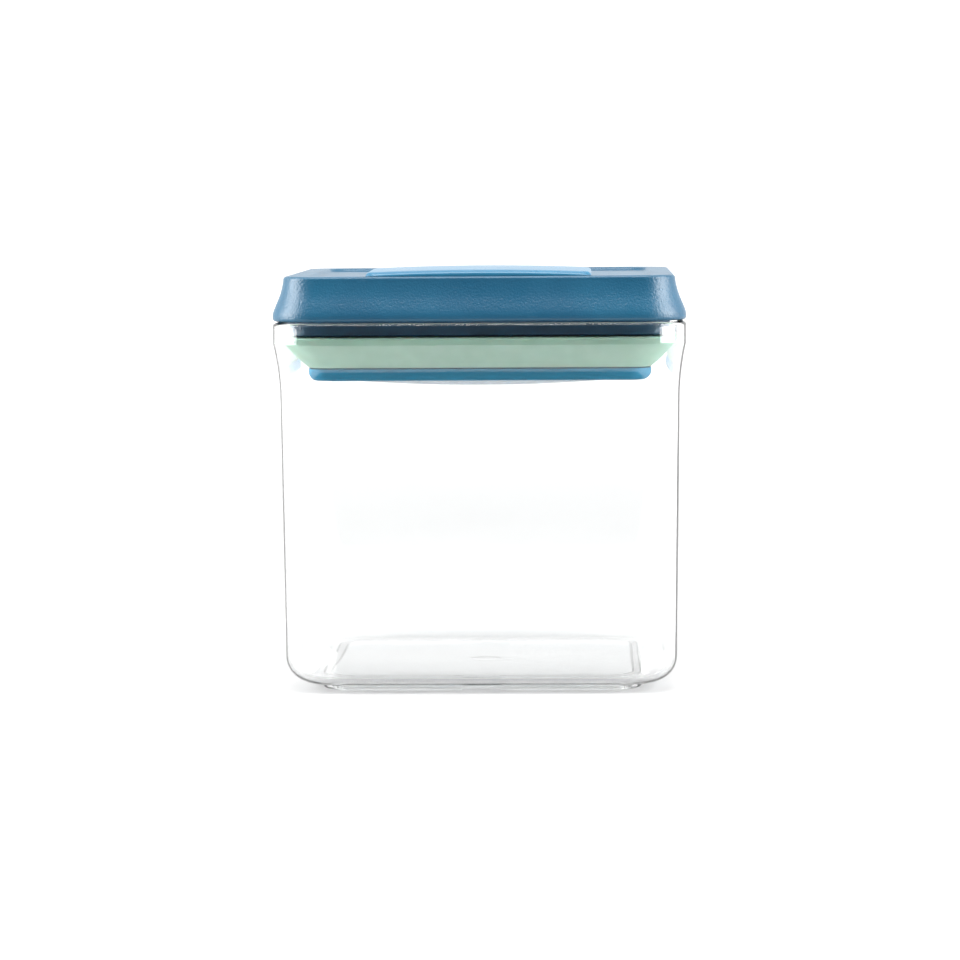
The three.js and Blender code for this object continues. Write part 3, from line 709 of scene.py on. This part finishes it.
def make_blade():
    """The blade as one skin swept from its front end to the tab over the pin."""
    front, rear = lever_low.y, lever_high.y
    bottom = CHANNEL_FLOOR + TOUCH_GAP
    step = CHANNEL_FRONT + SWING_GAP
    round_start = LEVER_REAR - LEVER_REAR_CORNER
    lip_places = []
    for i in range(13):
        turn = math.radians(90 * i / 12)
        lip_places.append(front + LEVER_ROLL * (1 - math.cos(turn)))
    lip_places += [front + 3, front + 4, step]
    bed_places = [step]
    y = step
    while y < round_start - 0.2:
        y += LEVER_STEP
        bed_places.append(min(y, round_start))
    for i in range(1, 13):
        turn = math.radians(90 * i / 12)
        bed_places.append(LEVER_REAR - LEVER_REAR_CORNER * (1 - math.sin(turn)))
    places = [(y, LEVER_LIP) for y in lip_places] + [(y, bottom) for y in bed_places]
    sections = []
    for y, under in places:
        half = LEVER_HALF
        into_front = front + LEVER_FRONT_CORNER - y
        if y < front + LEVER_FRONT_CORNER:
            half -= LEVER_FRONT_CORNER - math.sqrt(max(LEVER_FRONT_CORNER**2 - into_front**2, 0))
        into_rear = y - LEVER_REAR + LEVER_REAR_CORNER
        if y > round_start:
            half -= LEVER_REAR_CORNER - math.sqrt(max(LEVER_REAR_CORNER**2 - into_rear**2, 0))
        drop = 0
        if y < front + LEVER_ROLL:
            into_roll = (front + LEVER_ROLL - y) / LEVER_ROLL
            drop = LEVER_ROLL_DROP * (1 - math.sqrt(max(1 - into_roll**2, 0)))
        sections.append(lever_section(y, half, under, front, rear, drop))
    tab_half = CHEEK_OUTER - 0.01  # a hair inside the cheeks, so that they join cleanly
    tab = [(y, 0) for y in (LEVER_REAR, LEVER_REAR + 2, -2, 0, rear - 0.5)]
    tab += [(rear - 0.15, 0.12), (rear, 0.4)]
    for y, drop in tab:
        sections.append(lever_section(y, tab_half, bottom, front, rear, drop, edge=TAB_EDGE))
    count = len(sections[0])
    vertices = [vertex for section in sections for vertex in section]
    faces = []
    for row in range(len(sections) - 1):
        for i in range(count):
            j = (i + 1) % count
            here, after = row * count, (row + 1) * count
            faces.append((here + i, here + j, after + j, after + i))
    faces.append(tuple(range(count)))
    faces.append(tuple(range((len(sections) - 1) * count, len(sections) * count)))
    return new_object("lever_blade", vertices, faces)


def cam_outline():
    """A cheek from the side; its reach below the pin falls evenly as the lever turns."""
    rate = -(CAM_LOCKED - CAM_FREE) / math.radians(90)
    top = CHANNEL_FLOOR + TOUCH_GAP + CHEEK_JOIN - PIN_HEIGHT
    points = [(-CAM_HEEL, top), (-CAM_HEEL, -CAM_LOCKED)]
    for i in range(25):
        turn = math.radians(90 * i / 24)
        reach = CAM_LOCKED + rate * turn
        sine, cosine = math.sin(turn), math.cos(turn)
        points.append((reach * sine + rate * cosine, -reach * cosine + rate * sine))
    points.append((CAM_FREE, top))
    return [(y, z + PIN_HEIGHT) for y, z in points]


def make_lever():
    lever = make_blade()
    cheeks = [
        prism("cheek", cam_outline(), low, high, "X")
        for low, high in ((-CHEEK_OUTER, -SLOT_HALF), (SLOT_HALF, CHEEK_OUTER))
    ]
    shaped(lever, cheeks, "UNION")
    eye = circle(EYE_RADIUS + TOUCH_GAP, 0, PIN_HEIGHT)
    pin_hole = circle(PIN_HOLE, 0, PIN_HEIGHT, 40)
    neck_top = PIN_HEIGHT + EYE_RADIUS + TOUCH_GAP
    cutters = [
        prism("eye_room", eye, -SLOT_HALF, SLOT_HALF, "X"),
        prism("pin_hole", pin_hole, -CHEEK_OUTER - 1, CHEEK_OUTER + 1, "X"),
        block("neck_room", (-SLOT_HALF, 0, PIN_HEIGHT), (SLOT_HALF, CAM_FREE + 1, neck_top)),
    ]
    rib = LEVER_RIB
    front = CHANNEL_FRONT + 2 * rib
    rear = pad_low.y - TOUCH_GAP - rib
    pitch_x = (2 * LEVER_HALF - 2 * rib) / 3
    pitch_y = (rear - front) / 3
    bottom = CHANNEL_FLOOR + TOUCH_GAP
    for column in range(3):
        for row in range(3):
            x = pitch_x * (column - 1.5)
            y = front + pitch_y * row
            low = (x + rib / 2, y + rib / 2, bottom - 1)
            high = (x + pitch_x - rib / 2, y + pitch_y - rib / 2, bottom + POCKET_DEPTH)
            cutters.append(block("pocket", low, high))
    shaped(lever, cutters)
    return weighted(softened(lever, 0.2, angle=50))


# ---------- Finishes ----------

WHITE = (1, 1, 1, 1)


class Amount:
    """A number that changes over a surface, for use in sums."""

    def __init__(self, finish, socket):
        self.finish = finish
        self.socket = socket

    def __add__(self, other):
        return self.finish.maths("ADD", self, other)

    def __sub__(self, other):
        return self.finish.maths("SUBTRACT", self, other)

    def __rsub__(self, other):
        return self.finish.maths("SUBTRACT", other, self)

    def __mul__(self, other):
        return self.finish.maths("MULTIPLY", self, other)

    __radd__ = __add__
    __rmul__ = __mul__


class Finish:
    """The nodes of a material or of the surround."""

    def __init__(self, owner):
        owner.use_nodes = True
        self.owner = owner
        self.tree = owner.node_tree
        self.tree.nodes.clear()

    def node(self, kind, settings=None, inputs=None):
        """Adds a node, with its settings first and then its sockets' values or links."""
        made = self.tree.nodes.new(kind)
        for key, value in (settings or {}).items():
            setattr(made, key, value)
        for key, value in (inputs or {}).items():
            socket = made.inputs[key]
            if isinstance(value, Amount):
                self.tree.links.new(value.socket, socket)
            else:
                socket.default_value = value
        return made

    def take(self, node, output=0):
        return Amount(self, node.outputs[output])

    def maths(self, operation, first, second):
        made = self.node("ShaderNodeMath", {"operation": operation}, {0: first, 1: second})
        return self.take(made)

    def place(self, scale=(1, 1, 1)):
        """Where a point lies on the part, in metres times scale."""
        coordinates = self.take(self.node("ShaderNodeTexCoord"), "Object")
        scaled = self.node(
            "ShaderNodeVectorMath", {"operation": "MULTIPLY"}, {0: coordinates, 1: scale}
        )
        return self.take(scaled)

    def noise(self, size, detail=3.0, roughness=0.5, stretch=(1, 1, 1)):
        """Grain whose features are about size millimetres across, from 0 to 1."""
        fine = self.node(
            "ShaderNodeTexNoise",
            {"noise_dimensions": "3D"},
            {
                "Vector": self.place(stretch),
                "Scale": 1 / (size * MM),
                "Detail": detail,
                "Roughness": roughness,
            },
        )
        return self.take(fine, 0)

    def limited(self, value, low, high, new_low=0.0, new_high=1.0):
        """Eases from new_low to new_high while value goes from low to high."""
        ranged = self.node(
            "ShaderNodeMapRange",
            {"clamp": True, "interpolation_type": "SMOOTHSTEP"},
            {0: value, 1: low, 2: high, 3: new_low, 4: new_high},
        )
        return self.take(ranged)

    def mixed(self, share, first, second):
        """A colour between two colours."""
        mix = self.node("ShaderNodeMix", {"data_type": "RGBA"}, {0: share, 6: first, 7: second})
        return self.take(mix, 2)

    def bump(self, height, depth, strength=1.0):
        """A relief of depth millimetres."""
        bumped = self.node(
            "ShaderNodeBump", {}, {"Height": height, "Distance": depth * MM, "Strength": strength}
        )
        return self.take(bumped)

    def finish(self, colour, roughness, **others):
        """Closes the material; a name such as metallic=1.0 sets the shader's Metallic."""
        inputs = {"Base Color": colour, "Roughness": roughness}
        for key, value in others.items():
            inputs[key.replace("_", " ").title().replace("Ior", "IOR")] = value
        shader = self.take(self.node("ShaderNodeBsdfPrincipled", {}, inputs))
        self.node("ShaderNodeOutputMaterial", {}, {"Surface": shader})
        return self.owner


def new_finish(name):
    return Finish(bpy.data.materials.new(name))


def rgb(red, green, blue):
    """A finish's colour from its 0-255 swatch."""

    def linear(value):
        value /= 255
        return value / 12.92 if value <= 0.04045 else ((value + 0.055) / 1.055) ** 2.4

    return (linear(red), linear(green), linear(blue), 1)


def grey(level):
    return (level, level, level, 1)


def clear_plastic():
    """Moulded clear plastic: faint flow ripples, soft wear and a few hairline scratches."""
    finish = new_finish("clear_plastic")
    ripple = finish.noise(26, detail=1.0)
    wear = finish.noise(7, detail=4.0)
    hairlines = finish.noise(1.2, detail=2.0, stretch=(1, 1, 0.06))
    scratches = finish.limited(hairlines, 0.68, 0.8)
    roughness = 0.012 + 0.03 * finish.limited(wear, 0.45, 0.8) + 0.05 * scratches
    relief = finish.bump(ripple + 0.02 * scratches, 0.05, 0.5)
    return finish.finish(
        (0.972, 0.978, 0.978, 1),
        roughness,
        normal=relief,
        transmission_weight=1.0,
        ior=1.52,
        specular_ior_level=0.5,
    )


def moulded_blue(name, deep, light, shine, grain=0.35, grain_depth=0.02, ior=1.5):
    """Satin moulded plastic: fine grain, slight colour drift, rubbed spots and light scratches.

    Shine is its roughness before wear; grain and grain_depth are in millimetres.
    """
    finish = new_finish(name)
    drift = finish.noise(22, detail=2.0)
    grains = finish.noise(grain, detail=2.0, roughness=0.6)
    rubbed = finish.limited(finish.noise(9, detail=5.0), 0.5, 0.75)
    lines = finish.limited(finish.noise(0.7, detail=2.0, stretch=(0.08, 1, 1)), 0.68, 0.85)
    colour = finish.mixed(finish.limited(drift, 0.35, 0.65), deep, light)
    scratched = (0.35, 0.5, 0.58, 1)
    colour = finish.mixed(0.1 * lines, colour, scratched)
    roughness = shine + 0.08 * grains - 0.05 * rubbed + 0.06 * lines
    relief = finish.bump(grains - 0.02 * lines, grain_depth, 0.6)
    return finish.finish(colour, roughness, normal=relief, ior=ior)


def seal_green():
    """Mint silicone: soft and matt, with faint mottling and specks."""
    finish = new_finish("seal_green")
    mottle = finish.noise(5, detail=3.0)
    specks = finish.limited(finish.noise(0.5, detail=1.0), 0.7, 0.78)
    shade = finish.limited(mottle, 0.3, 0.7)
    colour = finish.mixed(shade, rgb(171, 210, 189), rgb(178, 216, 196))
    colour = finish.mixed(0.5 * specks, colour, rgb(205, 222, 212))
    roughness = 0.42 + 0.12 * mottle
    relief = finish.bump(finish.noise(0.8, detail=3.0), 0.02, 0.5)
    return finish.finish(
        colour,
        roughness,
        normal=relief,
        ior=1.41,
        subsurface_weight=0.15,
        subsurface_scale=0.002,
    )


def plain_moulding(name, dark, pale, shine, grain, depth):
    """A machined or moulded fitting with a light tool grain."""
    finish = new_finish(name)
    mottle = finish.noise(3, detail=3.0)
    grains = finish.noise(grain, detail=3.0)
    colour = finish.mixed(finish.limited(mottle, 0.3, 0.7), dark, pale)
    roughness = shine + 0.12 * grains
    return finish.finish(colour, roughness, normal=finish.bump(grains, depth, 0.5), ior=1.48)


def brushed_steel():
    """Stainless steel with fine turned lines and handling marks."""
    finish = new_finish("brushed_steel")
    lines = finish.noise(0.25, detail=2.0, stretch=(0.15, 0.15, 1))
    marks = finish.limited(finish.noise(4, detail=4.0), 0.5, 0.7)
    colour = finish.mixed(marks, rgb(188, 190, 191), rgb(168, 170, 172))
    roughness = 0.2 + 0.14 * lines + 0.06 * marks
    return finish.finish(colour, roughness, normal=finish.bump(lines, 0.01, 0.5), metallic=1.0)


# ---------- Assembly ----------


def put(made, node, body, material):
    """A finished piece stands for its CAD node, rides on its body and takes its finish."""
    made.data.materials.clear()
    made.data.materials.append(material)
    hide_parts(node)
    if body:
        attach(made, body)
    return made


CLEAR = clear_plastic()
COVER_BLUE = moulded_blue(
    "cover_blue", rgb(22, 72, 98), rgb(26, 79, 105), 0.3, grain=0.65, grain_depth=0.22
)
LEVER_BLUE = moulded_blue(
    "lever_blue", rgb(36, 96, 126), rgb(40, 102, 132), 0.26, grain=0.5, grain_depth=0.012
)
# The liner's blue is darker than the cover's: painted shade for the shadow on the collar under the
# lid's flange.
LINER_SHADED_BLUE = moulded_blue("liner_blue", rgb(14, 66, 94), rgb(18, 72, 100), 0.4)
PLATE_BLUE = moulded_blue(
    "plate_blue", rgb(50, 134, 170), rgb(54, 140, 176), 0.42, grain_depth=0.01, ior=1.3
)
CAP_BLUE = moulded_blue(
    "cap_blue", rgb(28, 112, 146), rgb(32, 118, 152), 0.16, grain_depth=0.004
)
MINT = seal_green()
ACETAL = plain_moulding(
    "white_acetal", rgb(216, 215, 209), rgb(228, 227, 222), shine=0.35, grain=0.6, depth=0.01
)
RUBBER = plain_moulding(
    "black_rubber", rgb(38, 40, 41), rgb(50, 52, 53), shine=0.55, grain=0.4, depth=0.02
)
STEEL = brushed_steel()

put(make_jar(), "jar", "jar", CLEAR)
put(make_cover(), "lid_cover", "lid", COVER_BLUE)
put(make_liner(), "lid_liner", "lid", LINER_SHADED_BLUE)
put(make_plate(), "clamp_plate", "clamp", PLATE_BLUE)
put(make_cap(), "clamp_cap", "clamp", CAP_BLUE)
put(make_lever(), "flip_lever", "lever", LEVER_BLUE)
seal_ring = put(make_seal(), "seal", None, MINT)
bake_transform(seal_ring)

fittings = {
    "draw_stem": ACETAL,
    "wear_pad": ACETAL,
    "stem_o_ring": RUBBER,
    "stem_washer": STEEL,
    "stem_screw": STEEL,
    "lever_pin": STEEL,
    "liner_screw_1": STEEL,
    "liner_screw_2": STEEL,
    "liner_screw_3": STEEL,
    "liner_screw_4": STEEL,
}
for node, material in fittings.items():
    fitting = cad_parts[node]
    fitting.data.materials.clear()
    fitting.data.materials.append(material)


# ---------- Studio ----------

# The camera stands and looks, in metres and degrees.
CAMERA_AWAY = 1.1074
CAMERA_HEIGHT = 0.1468
CAMERA_LENS = 137.06
CAMERA_PITCH = 4.589
CAMERA_YAW = 1.77
CAMERA_ROLL = -0.36
CAMERA_ASIDE = -0.0015

# Panels, in metres: what they face, how large they are and how bright.
SIDE_PANEL = {"target": (0, 0, 0.4), "size": (0.7, 1.0), "power": 24}
TOP_PANEL = {"target": (0, 0, 0.1), "size": (0.7, 0.6), "power": 9}

FLOOR_REACH = 4000
FLOOR_FRONT = -380  # it ends here, so that the front wall mirrors little of it


def make_camera():
    data = bpy.data.cameras.new("camera")
    data.lens = CAMERA_LENS
    data.sensor_width = 36
    data.clip_start = 0.05
    camera = bpy.data.objects.new("camera", data)
    bpy.context.scene.collection.objects.link(camera)
    yaw = math.radians(CAMERA_YAW)
    aside = Vector((math.cos(yaw), math.sin(yaw), 0)) * CAMERA_ASIDE
    ahead = (CAMERA_AWAY * math.sin(yaw), -CAMERA_AWAY * math.cos(yaw), CAMERA_HEIGHT)
    camera.location = Vector(ahead) + aside
    look = Euler((math.radians(90 - CAMERA_PITCH), 0, yaw)).to_matrix()
    roll = Euler((0, 0, math.radians(CAMERA_ROLL))).to_matrix()
    camera.rotation_euler = (look @ roll).to_euler()
    bpy.context.scene.camera = camera


def soft_light(name, place, target, size, power):
    data = bpy.data.lights.new(name, "AREA")
    data.shape = "RECTANGLE"
    data.size, data.size_y = size
    data.energy = power
    light = bpy.data.objects.new(name, data)
    bpy.context.scene.collection.objects.link(light)
    light.location = place
    heading = Vector(target) - Vector(place)
    light.rotation_euler = heading.to_track_quat("-Z", "Y").to_euler()
    light.visible_camera = False


def make_floor():
    """A pale floor that glows more further off, so that it runs into the white behind."""
    left, right, front, back = -FLOOR_REACH, FLOOR_REACH, FLOOR_FRONT, FLOOR_REACH
    corners = [(left, front, 0), (right, front, 0), (right, back, 0), (left, back, 0)]
    floor = new_object("floor", corners, [(0, 1, 2, 3)])
    finish = new_finish("pale_floor")
    mottle = finish.noise(60, detail=3.0)
    colour = finish.mixed(mottle, grey(0.3), grey(0.34))
    distance = finish.node("ShaderNodeVectorMath", {"operation": "LENGTH"}, {0: finish.place()})
    away = finish.take(distance, 1)
    glow = finish.mixed(finish.limited(away, 0.3, 1.4), grey(0.4), WHITE)
    floor.data.materials.append(
        finish.finish(colour, 0.7 + 0.1 * mottle, emission_color=glow, emission_strength=1.0)
    )


def make_surround():
    """Bright behind and below, dimmer in front, so that clear edges and glossy faces read."""
    world = bpy.data.worlds.new("studio")
    bpy.context.scene.world = world
    studio = Finish(world)
    heading = studio.take(studio.node("ShaderNodeTexCoord"), "Generated")
    parts = studio.node("ShaderNodeSeparateXYZ", {}, {0: heading})
    brightness = studio.limited(studio.take(parts, "Y"), -0.75, 0.2, 0.05, 1.3)
    lit = studio.node("ShaderNodeBackground", {}, {0: WHITE, 1: brightness})
    seen = studio.node("ShaderNodeBackground", {}, {0: WHITE, 1: 1.25})
    seen_directly = studio.take(studio.node("ShaderNodeLightPath"), "Is Camera Ray")
    mix = studio.node(
        "ShaderNodeMixShader",
        {},
        {0: seen_directly, 1: studio.take(lit), 2: studio.take(seen)},
    )
    studio.node("ShaderNodeOutputWorld", {}, {0: studio.take(mix)})


make_camera()
make_floor()
make_surround()
soft_light("left_panel", (-0.92, -0.2, 0.5), **SIDE_PANEL)
soft_light("right_panel", (0.9, -0.28, 0.5), **SIDE_PANEL)
soft_light("top_panel", (0, -0.22, 1.08), **TOP_PANEL)
bpy.context.scene.view_settings.view_transform = "Standard"
